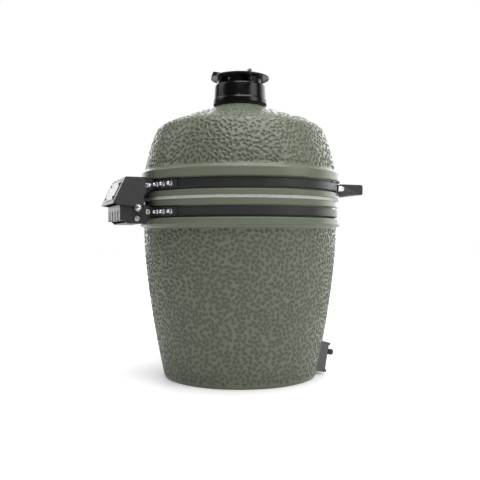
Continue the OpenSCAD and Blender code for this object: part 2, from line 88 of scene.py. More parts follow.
def rounded(corners, steps=4):
    """An outline from corners (r, z, fillet radius), with an arc at each one that has a radius."""
    out = [corners[0][:2]]
    for before, here, after in zip(corners, corners[1:], corners[2:]):
        p, q, n = (Vector(c[:2]) for c in (before, here, after))
        radius = here[2] if len(here) > 2 else 0
        if not radius:
            out.append(tuple(q))
            continue
        a, b = (p - q).normalized(), (n - q).normalized()
        half = a.angle(b) / 2
        reach = radius / math.tan(half)
        start, end = q + a * reach, q + b * reach
        centre = q + (a + b).normalized() * (radius / math.sin(half))
        u, v = start - centre, end - centre
        sweep = u.angle_signed(v)
        for i in range(steps + 1):
            turn = -sweep * i / steps
            cos, sin = math.cos(turn), math.sin(turn)
            out.append((centre.x + u.x * cos - u.y * sin, centre.y + u.x * sin + u.y * cos))
    out.append(corners[-1][:2])
    return out


class Outline:
    """A turned outline in metres, with its arc length, outward normal and conformal height."""

    def __init__(self, points):
        self.r, self.z = np.array(points, float).T * MM
        step = np.hypot(np.diff(self.r), np.diff(self.z))
        self.s = np.concatenate([[0], np.cumsum(step)])
        self.m = np.concatenate([[0], np.cumsum(step / ((self.r[1:] + self.r[:-1]) / 2))])
        along = np.stack([np.gradient(self.r, self.s), np.gradient(self.z, self.s)])
        along /= np.linalg.norm(along, axis=0)
        self.nr, self.nz = along[1], -along[0]

    def value(self, name, s):
        """r, z, m, nr or nz at a place s along the outline."""
        return np.interp(s, self.s, getattr(self, name))

    def place(self, theta, s, depth):
        """Points on the surface, or sunk below it by depth."""
        r = self.value("r", s) - depth * self.value("nr", s)
        z = self.value("z", s) - depth * self.value("nz", s)
        return np.stack([r * np.cos(theta), r * np.sin(theta), z], axis=-1)


# ---------- meshes ----------
class Build:
    """Vertices and faces of one piece while it is made. pit is 1 at the bottom of a dimple."""

    def __init__(self):
        self.points, self.faces, self.slots, self.pit = [], [], [], []

    def add(self, points, pits=None):
        """Adds vertices and gives their numbers."""
        first = len(self.points)
        self.points.extend(tuple(p) for p in points)
        self.pit.extend(pits or [0.0] * len(points))
        return list(range(first, len(self.points)))

    def face(self, corners, slot=0):
        self.faces.append(tuple(corners))
        self.slots.append(slot)

    def ring(self, r, z, count):
        """A ring of vertices about the Z axis, or one vertex where r is 0, in metres."""
        if r < 1e-6:
            return self.add([(0, 0, z)])
        angles = [2 * math.pi * i / count for i in range(count)]
        return self.add([(r * math.cos(a), r * math.sin(a), z) for a in angles])

    def skirt(self, a, b, slot=0):
        """Faces between two rings. Going up the outside of a piece they face outwards."""
        n = max(len(a), len(b))
        for i in range(n):
            k = (i + 1) % n
            if len(a) == 1:
                self.face((a[0], b[k], b[i]), slot)
            elif len(b) == 1:
                self.face((a[i], a[k], b[0]), slot)
            else:
                self.face((a[i], a[k], b[k], b[i]), slot)

    def turn(self, points, count, slot=0, start=None, end=None):
        """Turns an outline in millimetres. start and end are rings already there to join on to."""
        ring = start
        for r, z in points:
            following = self.ring(r * MM, z * MM, count)
            if ring:
                self.skirt(ring, following, slot)
            ring = following
        if end:
            self.skirt(ring, end, slot)
        return ring

    def tube(self, path, radius, sides, closed=False):
        """A round rod along path."""
        path = [Vector(p) for p in path]
        n = len(path)
        rings, normal = [], None
        for i, p in enumerate(path):
            before = path[i - 1] if closed or i else p
            after = path[(i + 1) % n] if closed or i < n - 1 else p
            ahead = (after - before).normalized()
            if normal is None:
                normal = ahead.orthogonal()
            normal = (normal - ahead * normal.dot(ahead)).normalized()
            side = ahead.cross(normal)
            turns = [2 * math.pi * k / sides for k in range(sides)]
            ways = [normal * math.cos(t) + side * math.sin(t) for t in turns]
            rings.append(self.add([p + way * radius for way in ways]))
        for i in range(n if closed else n - 1):
            self.skirt(rings[i], rings[(i + 1) % n])
        if not closed:
            self.face(reversed(rings[0]))
            self.face(rings[-1])

    def object(self, name, materials):
        """The finished piece, linked into the scene."""
        mesh = bpy.data.meshes.new(name)
        mesh.from_pydata(self.points, [], self.faces)
        for material in materials:
            mesh.materials.append(material)
        mesh.polygons.foreach_set("material_index", self.slots)
        mesh.polygons.foreach_set("use_smooth", [True] * len(self.faces))
        if any(self.pit):
            attribute = mesh.attributes.new("pit", "FLOAT", "POINT")
            attribute.data.foreach_set("value", self.pit)
        mesh.validate()
        made = bpy.data.objects.new(name, mesh)
        bpy.context.scene.collection.objects.link(made)
        return made


def stand_for(piece, node):
    """The piece rides on its CAD node's body and hides the node."""
    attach(piece, BODY_OF[node])
    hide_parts(node)
    return piece


def weigh_normals(piece):
    """Shades broad faces evenly right up to their narrow rounded edges."""
    modifier = piece.modifiers.new("even_shading", "WEIGHTED_NORMAL")
    modifier.mode = "FACE_AREA"
    modifier.keep_sharp = True


def apply_modifiers(piece):
    """Replaces the piece's mesh with what its modifiers make of it."""
    graph = bpy.context.evaluated_depsgraph_get()
    mesh = bpy.data.meshes.new_from_object(piece.evaluated_get(graph))
    piece.modifiers.clear()
    piece.data = mesh


def cut(piece, cutter):
    """Takes the cutter's solid out of the piece."""
    modifier = piece.modifiers.new("cut", "BOOLEAN")
    modifier.operation = "DIFFERENCE"
    modifier.solver = "EXACT"
    modifier.object = cutter
    apply_modifiers(piece)
    bpy.data.objects.remove(cutter)


# ---------- materials ----------
class Finish:
    """A Principled material with procedural detail, in the piece's own coordinates in metres."""

    def __init__(self, name, colour, roughness, **sockets):
        self.material = bpy.data.materials.new(name)
        self.material.use_nodes = True
        self.tree = self.material.node_tree
        self.shader = self.tree.nodes["Principled BSDF"]
        self.colour = (*colour, 1)
        self.shader.inputs["Base Color"].default_value = self.colour
        self.shader.inputs["Roughness"].default_value = roughness
        for socket, value in sockets.items():
            self.shader.inputs[socket.replace("_", " ")].default_value = value
        self.coordinates = self.node("ShaderNodeTexCoord").outputs["Object"]

    def node(self, kind, **settings):
        made = self.tree.nodes.new(kind)
        for key, value in settings.items():
            setattr(made, key, value)
        return made

    def link(self, output, target):
        self.tree.links.new(output, target)

    def stretched(self, scale):
        """The coordinates scaled differently along X, Y and Z, for grain with a direction."""
        mapping = self.node("ShaderNodeMapping")
        mapping.inputs["Scale"].default_value = scale
        self.link(self.coordinates, mapping.inputs["Vector"])
        return mapping.outputs["Vector"]

    def noise(self, scale, detail=3, rough=0.5, vector=None):
        """Noise whose features are about 1/scale metres across."""
        made = self.node("ShaderNodeTexNoise")
        made.inputs["Scale"].default_value = scale
        made.inputs["Detail"].default_value = detail
        made.inputs["Roughness"].default_value = rough
        self.link(vector or self.coordinates, made.inputs["Vector"])
        return made.outputs["Fac"]

    def cells(self, scale):
        """How far each point is from the middle of its cell, in cells about 1/scale metres across."""
        made = self.node("ShaderNodeTexVoronoi")
        made.inputs["Scale"].default_value = scale
        self.link(self.coordinates, made.inputs["Vector"])
        return made.outputs["Distance"]

    def spread(self, value, low, high, to_low, to_high):
        """value from low to high becomes to_low to to_high, clamped."""
        made = self.node("ShaderNodeMapRange", clamp=True)
        limits = {"From Min": low, "From Max": high, "To Min": to_low, "To Max": to_high}
        for socket, number in limits.items():
            made.inputs[socket].default_value = number
        self.link(value, made.inputs["Value"])
        return made.outputs["Result"]

    def tint(self, value, colour):
        """Mixes the base colour so far with another, by value from 0 to 1."""
        mix = self.node("ShaderNodeMix", data_type="RGBA")
        self.link(value, mix.inputs["Factor"])
        so_far = self.shader.inputs["Base Color"]
        if so_far.is_linked:
            self.link(so_far.links[0].from_socket, mix.inputs["A"])
        else:
            mix.inputs["A"].default_value = self.colour
        mix.inputs["B"].default_value = (*colour, 1)
        self.link(mix.outputs["Result"], so_far)

    def vary_roughness(self, value, low, high):
        """Lets the roughness run from low to high with value."""
        self.link(self.spread(value, 0.3, 0.7, low, high), self.shader.inputs["Roughness"])

    def bump(self, value, depth, strength=1.0):
        """Adds relief of that depth in metres where value goes from 0 to 1."""
        made = self.node("ShaderNodeBump")
        made.inputs["Strength"].default_value = strength
        made.inputs["Distance"].default_value = depth
        self.link(value, made.inputs["Height"])
        normal = self.shader.inputs["Normal"]
        if normal.is_linked:
            self.link(normal.links[0].from_socket, made.inputs["Normal"])
        self.link(made.outputs["Normal"], normal)


def glaze():
    """Olive glaze, mottled, a little darker at the bottom of the dimples: partly glaze pooled there,
    partly painted shade.
    """
    finish = Finish("glazed_ceramic", (0.153, 0.174, 0.126), 0.22, Specular_IOR_Level=0.34)
    pit = finish.node("ShaderNodeAttribute", attribute_name="pit").outputs["Fac"]
    finish.tint(finish.spread(finish.noise(9, 2), 0.35, 0.65, 0, 0.5), (0.169, 0.191, 0.138))
    finish.tint(finish.spread(finish.noise(420, 2), 0.55, 0.75, 0, 0.12), (0.12, 0.145, 0.098))
    # Dimple floors tinted darker: partly pooled glaze, partly painted shade in the hollows
    finish.tint(finish.spread(pit, 0.02, 0.6, 0, 0.7), (0.101, 0.116, 0.08))
    finish.vary_roughness(finish.noise(160), 0.14, 0.21)
    finish.bump(finish.noise(260, 3), 0.0002, 0.3)
    return finish.material


def bare_clay():
    """Fired clay with open pores and soot stains."""
    finish = Finish("bare_ceramic", (0.47, 0.36, 0.24), 0.85)
    finish.tint(finish.spread(finish.noise(30), 0.4, 0.7, 0, 0.6), (0.36, 0.27, 0.18))
    finish.tint(finish.spread(finish.cells(500), 0.0, 0.22, 0.55, 0), (0.2, 0.15, 0.1))
    finish.tint(finish.spread(finish.noise(5, 4), 0.52, 0.7, 0, 0.6), (0.09, 0.075, 0.062))
    finish.bump(finish.noise(700, 4, 0.7), 0.0005)
    return finish.material


def felt():
    """Pale felt with strands that run round in layers."""
    finish = Finish("gasket_felt", (0.72, 0.71, 0.69), 0.5, Sheen_Weight=0.3)
    strands = finish.noise(1, 3, 0.6, finish.stretched((120, 120, 1500)))
    finish.tint(finish.spread(strands, 0.38, 0.62, 0, 0.85), (0.42, 0.415, 0.4))
    finish.bump(finish.noise(1400, 2), 0.0005)
    finish.bump(strands, 0.0004)
    return finish.material


def powder_coat(name, colour, roughness=0.42, shine=0.5):
    """Satin powder coating: an even fine orange peel."""
    finish = Finish(name, colour, roughness, Specular_IOR_Level=shine)
    lighter = tuple(c * 1.35 for c in colour)
    finish.tint(finish.spread(finish.noise(45, 3), 0.4, 0.7, 0, 0.5), lighter)
    finish.vary_roughness(finish.noise(300), roughness - 0.05, roughness + 0.06)
    finish.bump(finish.noise(1800, 2), 0.00012)
    return finish.material


def brushed(name, colour, roughness):
    """Brushed metal with its lines along X."""
    finish = Finish(name, colour, roughness, Metallic=1.0)
    lines = finish.noise(1, 3, 0.6, finish.stretched((60, 2600, 2600)))
    finish.vary_roughness(lines, roughness - 0.08, roughness + 0.1)
    darker = tuple(c * 0.75 for c in colour)
    finish.tint(finish.spread(lines, 0.35, 0.65, 0, 0.4), darker)
    finish.bump(lines, 0.00008)
    return finish.material


def polished(name, colour, roughness):
    """Smooth metal with faint smears and waves."""
    finish = Finish(name, colour, roughness, Metallic=1.0)
    finish.vary_roughness(finish.noise(500, 2), roughness, roughness + 0.1)
    finish.bump(finish.noise(900, 2), 0.00003)
    return finish.material


def cast_iron():
    """Sand-cast iron, seasoned: a rough grain with darker and lighter patches."""
    finish = Finish("cast_iron", (0.03, 0.03, 0.031), 0.62)
    finish.tint(finish.spread(finish.noise(140, 4), 0.45, 0.7, 0, 0.5), (0.042, 0.042, 0.0434))
    finish.vary_roughness(finish.noise(200), 0.57, 0.74)
    finish.bump(finish.noise(900, 4, 0.65), 0.0005)
    return finish.material


def moulded(name, colour, roughness, grain=0.0001):
    """Moulded plastic, rubber or print, with a fine leathery grain."""
    finish = Finish(name, colour, roughness)
    lighter = tuple(c * 1.3 for c in colour)
    finish.tint(finish.spread(finish.noise(80, 3), 0.45, 0.7, 0, 0.4), lighter)
    finish.vary_roughness(finish.noise(400), roughness - 0.04, roughness + 0.06)
    finish.bump(finish.cells(1600), grain)
    return finish.material


def sintered_bronze():
    finish = Finish("bronze", (0.5, 0.33, 0.14), 0.42, Metallic=1.0)
    finish.tint(finish.spread(finish.cells(1500), 0, 0.2, 0.7, 0), (0.1, 0.06, 0.03))
    finish.bump(finish.noise(1500, 2), 0.0001)
    return finish.material


def clear_glass():
    finish = Finish("lens_glass", (0.96, 0.98, 0.98), 0.02, Transmission_Weight=1.0, IOR=1.45)
    finish.bump(finish.noise(40, 1), 0.00002)
    return finish.material


FINISHES = {
    "glazed_ceramic": glaze(),
    "bare_ceramic": bare_clay(),
    "gasket_felt": felt(),
    # Near black: partly the pad's own black, partly painted shade for the dark gaps above and below the
    # bands
    "band_pad": moulded("band_pad", (0.003, 0.003, 0.003), 0.9),
    "coated_steel": powder_coat("coated_steel", (0.026, 0.026, 0.028), 0.36),
    "draft_steel": powder_coat("draft_steel", (0.11, 0.11, 0.115), 0.38),
    "stainless": brushed("stainless", (0.58, 0.57, 0.55), 0.3),
    "bright_fasteners": polished("bright_fasteners", (0.8, 0.8, 0.82), 0.1),
    "spring_steel": polished("spring_steel", (0.3, 0.3, 0.31), 0.3),
    "bronze": sintered_bronze(),
    "cast_iron": cast_iron(),
    "vent_casting": powder_coat("vent_casting", (0.003, 0.003, 0.0032), 0.17),
    "rubber_seal": moulded("rubber_seal", (0.006, 0.006, 0.006), 0.75),
    "thermometer_case": powder_coat("thermometer_case", (0.01, 0.01, 0.0105), 0.5, 0.25),
    "dial_face": moulded("dial_face", (0.8, 0.8, 0.78), 0.5, 0.00003),
    "lens_glass": clear_glass(),
    "needle_paint": powder_coat("needle_paint", (0.55, 0.05, 0.03), 0.35),
    "brushed_plate": brushed("brushed_plate", (0.24, 0.24, 0.245), 0.3),
    "dark_screws": polished("dark_screws", (0.05, 0.05, 0.05), 0.3),
    "knob_plastic": moulded("knob_plastic", (0.02, 0.02, 0.021), 0.42),
}

# Pieces that look different from the rest of their slot
OWN_FINISH = {
    "hinge_bracket_bolts": polished("washer_steel", (0.62, 0.6, 0.62), 0.34),
    "hinge_cover": powder_coat("cover_steel", (0.047, 0.047, 0.05), 0.34),
}


# ---------- glazed shells ----------
class Dimple:
    """An oblong pressed into the glaze: where it is, which way it lies and half its straight length."""

    def __init__(self, theta, s, outline):
        self.theta, self.s = theta, s
        self.r = float(outline.value("r", s))
        self.place = self.r * math.cos(theta), self.r * math.sin(theta), float(outline.value("z", s))
        self.lie = np.zeros(2)

    def shift_to(self, other):
        """How far away the other is, round the shell and along its outline."""
        turn = (other.theta - self.theta + math.pi) % (2 * math.pi) - math.pi
        return np.array((turn * self.r, other.s - self.s))

    def loop(self, radius):
        """Ten points round the dimple at that distance from its middle line."""
        along, up = self.lie
        angle = math.atan2(up, along)
        out = []
        for end in (1, -1):
            for k in range(5):
                turn = angle + (0 if end > 0 else math.pi) + math.radians(-90 + 45 * k)
                out.append((end * along + math.cos(turn) * radius, end * up + math.sin(turn) * radius))
        return out


class Cells:
    """Dimples sorted into cubes, to find the ones nearby."""

    def __init__(self, size):
        self.size, self.held = size, {}

    def key(self, place):
        return tuple(int(c // self.size) for c in place)

    def add(self, dimple):
        self.held.setdefault(self.key(dimple.place), []).append(dimple)

    def near(self, place):
        x, y, z = self.key(place)
        found = []
        for i, j, k in product((-1, 0, 1), repeat=3):
            found += self.held.get((x + i, y + j, z + k), ())
        return found


# A dimple's half width at the rim and on the floor, and its least and most half straight length
DIMPLE_RIM = 4.0 * MM
DIMPLE_FLOOR = 3.15 * MM
DIMPLE_HALF = (2.2 * MM, 4.4 * MM)
# The least distance between dimples' middles, and between their middle lines
DIMPLE_SPACING = 10.1 * MM
DIMPLE_GAP = 2 * DIMPLE_RIM + 0.2 * MM
# How far dimples stay from the edges of their shell's outside
DIMPLE_MARGIN = 4.2 * MM
# How often a dimple is thrown for each square of the spacing
TRIES = 14
# The stretch of the outline over which the dimples fade out, as shares of its length
FADE_FROM_TO = (0.58, 0.86)


def scatter(outline, margin, rng):
    """Dimples thrown over the surface until hardly any more fit at their spacing."""
    low, high = margin, outline.s[-1] - margin
    widest = outline.r.max()
    area = 2 * math.pi * float(np.sum(np.diff(outline.s) * outline.r[1:]))
    cells, found = Cells(DIMPLE_SPACING), []
    tries = int(TRIES * area / DIMPLE_SPACING**2)
    for _ in range(tries):
        dimple = Dimple(rng.uniform(-math.pi, math.pi), rng.uniform(low, high), outline)
        if rng.random() * widest > dimple.r:
            continue
        others = cells.near(dimple.place)
        if all(math.dist(dimple.place, other.place) > DIMPLE_SPACING for other in others):
            cells.add(dimple)
            found.append(dimple)
    return found


def lay(found, rng):
    """Gives each dimple a random direction in which it is long and keeps clear of its neighbours.

    It takes the longest of six lengths that fits in one of nine directions, or else what has most room.
    """
    reach = Cells(2 * DIMPLE_HALF[1] + DIMPLE_GAP)
    for dimple in found:
        reach.add(dimple)
    steps = np.array((-1, 0, 1))[:, None]
    for _ in range(2):
        for dimple in found:
            others = [d for d in reach.near(dimple.place) if d is not dimple]
            theirs = np.concatenate([dimple.shift_to(d) + steps * d.lie for d in others])
            start = rng.uniform(0, math.pi)
            wanted = rng.uniform(*DIMPLE_HALF)
            angles = start + np.arange(9) * math.pi / 9
            ways = np.stack([np.cos(angles), np.sin(angles)], axis=-1)
            halves = wanted * np.array((1, 0.8, 0.6, 0.4, 0.2, 0.05))
            lies = halves[:, None, None] * ways
            own = lies[:, :, None, :] * steps
            room = np.linalg.norm(own[:, :, :, None, :] - theirs, axis=-1).min(axis=(2, 3))
            fits = np.argwhere(room > DIMPLE_GAP)
            best = fits[0] if len(fits) else np.unravel_index(np.argmax(room), room.shape)
            dimple.lie = lies[tuple(best)]


def ring_edges(first, count):
    """Pairs of point numbers that close a ring of count points."""
    return [(first + i, first + (i + 1) % count) for i in range(count)]


def dimple_net(outline, found, fade):
    """Rings at both ends of a shell's outside and round each dimple, as a net on its surface.

    Gives each point's angle, its place along the outline and its share of the full depth, and the
    edges of the rings.
    """
    theta, s, sunk, edges = [], [], [], []
    for end in (0.0, outline.s[-1]):
        edges += ring_edges(len(theta), SEGMENTS)
        theta += [2 * math.pi * i / SEGMENTS for i in range(SEGMENTS)]
        s += [end] * SEGMENTS
        sunk += [0.0] * SEGMENTS
    for dimple in found:
        for radius, share in ((DIMPLE_RIM, 0.0), (DIMPLE_FLOOR, 1.0)):
            loop = dimple.loop(radius)
            edges += ring_edges(len(theta), len(loop))
            for x, y in loop:
                along = min(max(dimple.s + y, 0.1 * MM), outline.s[-1] - 0.1 * MM)
                s.append(along)
                theta.append(dimple.theta + x / float(outline.value("r", along)))
                sunk.append(share * float(np.interp(along / outline.s[-1], FADE_FROM_TO, (1, fade))))
    return np.array(theta), np.array(s), np.array(sunk), edges


def dimpled_skin(build, outline, depth, seed, fade=1.0):
    """Adds the dimpled outside of a shell, fading upwards, and gives its lowest and highest rings.

    The net is triangulated on a flat map that keeps angles, where both end rings are circles.
    """
    rng = random.Random(seed)
    found = scatter(outline, DIMPLE_MARGIN, rng)
    lay(found, rng)
    theta, s, sunk, edges = dimple_net(outline, found, fade)
    reach = np.exp(outline.value("m", s))
    plane = [Vector(p) for p in np.stack([reach * np.cos(theta), reach * np.sin(theta)], axis=-1)]
    flat, _, faces, origins, _, _ = delaunay_2d_cdt(plane, edges, [], 0, 1e-6)
    chosen = []
    for point, origin in zip(flat, origins):
        if origin:
            chosen.append((theta[origin[0]], s[origin[0]], sunk[origin[0]]))
        else:
            up = np.interp(math.log(point.length), outline.m, outline.s)
            chosen.append((math.atan2(point.y, point.x), up, 0))
    chosen = np.array(chosen)
    places = outline.place(chosen[:, 0], chosen[:, 1], chosen[:, 2] * depth)
    ids = build.add(places.tolist(), chosen[:, 2].tolist())
    # The faces inside the low ring would close the shell
    low_ring = {i for i, origin in enumerate(origins) if any(o < SEGMENTS for o in origin)}
    for corners in faces:
        if not all(c in low_ring for c in corners):
            build.face([ids[c] for c in reversed(corners)])
    id_of = {o: ids[i] for i, origin in enumerate(origins) for o in origin if o < 2 * SEGMENTS}
    ends = [id_of[i] for i in range(2 * SEGMENTS)]
    return ends[:SEGMENTS], ends[SEGMENTS:]


def base_shell():
    """The foot, the dimpled wall and the rim flange with its band groove, and a plain clay inside."""
    foot_turn = rounded([(0, 0), (FOOT_R + 6.2, 0, 6), (FOOT_R + 8.2, 8)], 5)
    wall_line = [foot_turn[-1]]
    wall_line += bezier(
        (FOOT_R + 11.6, 24.3),
        (FOOT_R + 40.7, 155.9),
        (FLANGE_R - 11.9, 290.8),
        (FLANGE_R - 10.6, 387),
        120,
    )
    build = Build()
    low, high = dimpled_skin(build, Outline(wall_line), 1.7 * MM, seed=11)
    rim_out = RIM_R - 1.5
    flange = rounded(
        [
            (FLANGE_R - 10.5, 387.4),
            (FLANGE_R - 7.5, 391.2, 4),
            (FLANGE_R, 394.2, 3.2),
            (FLANGE_R, LOWER_GROOVE[0], 2.2),
            (GROOVE_R, LOWER_GROOVE[0]),
            (GROOVE_R, LOWER_GROOVE[1]),
            (rim_out, LOWER_GROOVE[1], 1.8),
            (rim_out, BASE_RIM_Z, 1.8),
            (MOUTH_R, BASE_RIM_Z, 2),
            (MOUTH_R, 404),
        ]
    )
    edge = build.turn(flange, SEGMENTS, 0, start=high)
    inside = bezier(
        (FOOT_R - 20, 50),
        (FOOT_R + 14, 155.9),
        (FLANGE_R - 38, 290.8),
        (FLANGE_R - 37, 380),
        20,
    )[::-1]
    floor = build.turn(inside + [(FOOT_R - 34, WALL), (0, WALL)], SEGMENTS, 1, start=edge)
    build.turn(foot_turn[:-1], SEGMENTS, 0, end=low)
    assert len(floor) == 1
    shell = build.object("glazed_base", [FINISHES["glazed_ceramic"], FINISHES["bare_ceramic"]])
    cut(shell, draft_cutter())
    weigh_normals(shell)
    return stand_for(shell, "base_shell")


def dome_shell():
    """The rim flange with its band groove and the dimpled dome up to its neck, plain clay inside."""
    shoulder = FLANGE_R - 42.2, 640.6
    wall = bezier(
        (FLANGE_R - 9.7, 520), (FLANGE_R - 17.2, 560.1), (FLANGE_R - 24.7, 600.5), shoulder, 60
    )
    top = bezier(shoulder, (FLANGE_R - 51.5, 661.7), (156.2, 675.3), (66.2, NECK_Z - 0.3), 90)
    outside = [p for p in wall if p[1] > 536] + top[1:]
    build = Build()
    low, high = dimpled_skin(build, Outline(outside), 1.6 * MM, seed=12, fade=0.15)
    inner_shoulder = FLANGE_R - 66, 626
    top_inside = bezier(inner_shoulder, (FLANGE_R - 78, 645), (150, 650), (NECK_BORE, 684), 16)[::-1]
    wall_inside = bezier(
        (MOUTH_R, LID_RIM_Z + 2), (FLANGE_R - 42, 555), (FLANGE_R - 48, 592), inner_shoulder, 12
    )
    edge = build.turn([(62, NECK_Z), (NECK_BORE, NECK_Z)], SEGMENTS, 0, start=high)
    mouth = build.turn(top_inside + wall_inside[-2::-1], SEGMENTS, 1, start=edge)
    rim_out = RIM_R + 1
    flange = rounded(
        [
            (MOUTH_R + 2, LID_RIM_Z),
            (rim_out, LID_RIM_Z, 1.8),
            (rim_out, UPPER_GROOVE[0], 1.8),
            (GROOVE_R, UPPER_GROOVE[0]),
            (GROOVE_R, UPPER_GROOVE[1]),
            (FLANGE_R, UPPER_GROOVE[1], 2),
            (FLANGE_R, 529.5, 6),
            (FLANGE_R - 10.5, 533.5, 4),
            (FLANGE_R - 12.2, 534.8),
        ],
        5,
    )
    build.turn(flange, SEGMENTS, 0, start=mouth, end=low)
    shell = build.object("glazed_dome", [FINISHES["glazed_ceramic"], FINISHES["bare_ceramic"]])
    cut(shell, bore_cutter())
    weigh_normals(shell)
    return stand_for(shell, "dome_shell")


def leaning(pivot_y, pivot_z, lean):
    """Gives a function from a leaning piece's own coordinates in millimetres to metres."""
    cos, sin = math.cos(lean), math.sin(lean)

    def place(point):
        x, y, z = point
        return x * MM, (pivot_y + y * cos - z * sin) * MM, (pivot_z + y * sin + z * cos) * MM

    return place


# The draft frame leans with the wall, and the dial lies on the dome's slope with its face at +Z
draft_place = leaning(-211, 45, math.radians(10.5))
dial_place = leaning(-172, 671, math.radians(21))
DRAFT_WIDTH = 112
DRAFT_HEIGHT = 44


def draft_cutter():
    """The air opening at the foot, a box that leans with the draft frame in front of it."""
    build = Build()
    half, rise = DRAFT_WIDTH / 2, DRAFT_HEIGHT / 2
    corners = product((-half, half), (-30, 60), (2 - rise, 2 + rise))
    ids = build.add([draft_place(corner) for corner in corners])
    sides = ((0, 1, 3, 2), (4, 6, 7, 5), (0, 4, 5, 1), (2, 3, 7, 6), (0, 2, 6, 4), (1, 5, 7, 3))
    for side in sides:
        build.face([ids[i] for i in side])
    return build.object("cutter", [])


def bore_cutter():
    """The hole for the thermometer's stem."""
    build = Build()
    radius, sides = 8, 48
    turns = [2 * math.pi * i / sides for i in range(sides)]
    around = [(radius * math.cos(t), radius * math.sin(t)) for t in turns]
    low, high = (build.add([dial_place((x, y, z)) for x, y in around]) for z in (-60, 30))
    build.skirt(low, high)
    build.face(reversed(low))
    build.face(high)
    return build.object("cutter", [])


# ---------- gaskets, springs, grid ----------
def gasket(node, seed):
    """A flat felt ring with soft edges and a slightly uneven outside."""
    low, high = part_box(node)
    rng = random.Random(seed)
    build = Build()
    count = 480
    uneven = 0.16
    outer, z0, z1 = high.x / MM, low.z / MM, high.z / MM
    inner, middle = MOUTH_R + 4, (z0 + z1) / 2
    outline = rounded(
        [
            (inner, middle),
            (inner, z0, 0.8),
            (outer, z0, 1.3),
            (outer, z1, 1.3),
            (inner, z1, 0.8),
            (inner, middle + 0.01),
        ],
        3,
    )
    last = build.turn(outline, count)
    build.skirt(last, list(range(count)))
    drift = [rng.gauss(0, uneven) for _ in range(count)]
    for i, (x, y, z) in enumerate(build.points):
        r = math.hypot(x, y)
        if r > (outer - 4) * MM:
            scale = 1 - abs(drift[i % count]) * MM / r
            build.points[i] = (x * scale, y * scale, z)
    piece = build.object(node.replace("gasket", "felt_seal"), [FINISHES["gasket_felt"]])
    return stand_for(piece, node)


SPRING_WIRE_R = 2 * MM
SPRING_R = 11 * MM
SPRING_TURNS = 5
SPRING_GAP = 5 * MM


def springs():
    """A round wire coil on each side of the hinge pin's middle."""
    low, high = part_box("hinge_springs")
    middle = (low + high) / 2
    steps = 28
    count = SPRING_TURNS * steps
    length = high.x - SPRING_GAP - 2 * SPRING_WIRE_R
    build = Build()
    for side in (-1, 1):
        path = []
        for i in range(count + 1):
            a = 2 * math.pi * i / steps
            x = side * (SPRING_GAP + SPRING_WIRE_R + length * i / count)
            path.append((x, middle.y + SPRING_R * math.cos(a), middle.z + SPRING_R * math.sin(a)))
        build.tube(path if side > 0 else path[::-1], 0.98 * SPRING_WIRE_R, 10)
    return stand_for(build.object("lift_springs", [FINISHES["spring_steel"]]), "hinge_springs")


GRID_RIM_ROD = 3 * MM
GRID_ROD = 2 * MM
GRID_STEP = 15 * MM
CROSS_ROD_Y = 70 * MM


def cooking_grid():
    """Round rods welded inside a rim rod, with two cross rods below."""
    low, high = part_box("cooking_grid")
    rim, middle = high.x - GRID_RIM_ROD, low.z + GRID_RIM_ROD
    build = Build()
    turns = [2 * math.pi * i / 120 for i in range(120)]
    ring = [(rim * math.cos(t), rim * math.sin(t), middle) for t in turns]
    build.tube(ring, GRID_RIM_ROD, 12, closed=True)
    bars = int((high.x - 8 * MM) / GRID_STEP)
    for i in range(-bars, bars + 1):
        x = i * GRID_STEP
        reach = math.sqrt(rim**2 - x**2) - 0.5 * MM
        ends = [(x, y * reach, middle) for y in (-1, -0.98, 0.98, 1)]
        build.tube(ends, GRID_ROD, 10)
    for y in (-CROSS_ROD_Y, CROSS_ROD_Y):
        reach = math.sqrt(rim**2 - y**2) - 0.5 * MM
        below = low.z + GRID_ROD
        build.tube([(-reach, y, below), (reach, y, below)], GRID_ROD, 10)
    return stand_for(build.object("grid_rods", [FINISHES["stainless"]]), "cooking_grid")


# The dial's print in millimetres: its height above the dial's base, and how its scale runs
PRINT_Z = 9.56
SCALE_START = math.radians(225)
SCALE_SWEEP = math.radians(-270)
NUMBERS = range(50, 351, 50)
NUMBER_R = 19
NUMBER_HEIGHT = 5.2
TICKS_PER_NUMBER = 5
TICK_OUTER = 29
# Where each tick starts and half its width, for the short ones and for those at a number
SHORT_TICK = (26.0, 0.22)
LONG_TICK = (23.5, 0.45)


def dial_ticks(ink):
    """The marks round the dial, longer and wider where a number stands."""
    build = Build()
    count = TICKS_PER_NUMBER * (len(NUMBERS) - 1)
    for i in range(count + 1):
        a = SCALE_START + SCALE_SWEEP * i / count
        inner, half = SHORT_TICK if i % TICKS_PER_NUMBER else LONG_TICK
        cos, sin = math.cos(a), math.sin(a)
        corners = [(inner, -half), (TICK_OUTER, -half), (TICK_OUTER, half), (inner, half)]
        flat = [(u * cos - v * sin, u * sin + v * cos, PRINT_Z) for u, v in corners]
        build.face(build.add([dial_place(p) for p in flat]))
    ticks = build.object("dial_ticks", [ink])
    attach(ticks, "lid")


def dial_number(index, ink):
    """One plain number printed inside the ticks."""
    name = f"dial_number_{index}"
    letters = bpy.data.curves.new(name, "FONT")
    letters.body = str(NUMBERS[index])
    letters.size = NUMBER_HEIGHT
    letters.align_x = letters.align_y = "CENTER"
    made = bpy.data.objects.new(name, letters)
    bpy.context.scene.collection.objects.link(made)
    bpy.context.view_layer.update()
    mesh = bpy.data.meshes.new_from_object(made.evaluated_get(bpy.context.evaluated_depsgraph_get()))
    bpy.data.objects.remove(made)
    a = SCALE_START + SCALE_SWEEP * index / (len(NUMBERS) - 1)
    for vertex in mesh.vertices:
        x, y, _ = vertex.co
        vertex.co = dial_place((x + NUMBER_R * math.cos(a), y + NUMBER_R * math.sin(a), PRINT_Z))
    mesh.materials.clear()
    mesh.materials.append(ink)
    number = bpy.data.objects.new(name, mesh)
    bpy.context.scene.collection.objects.link(number)
    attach(number, "lid")


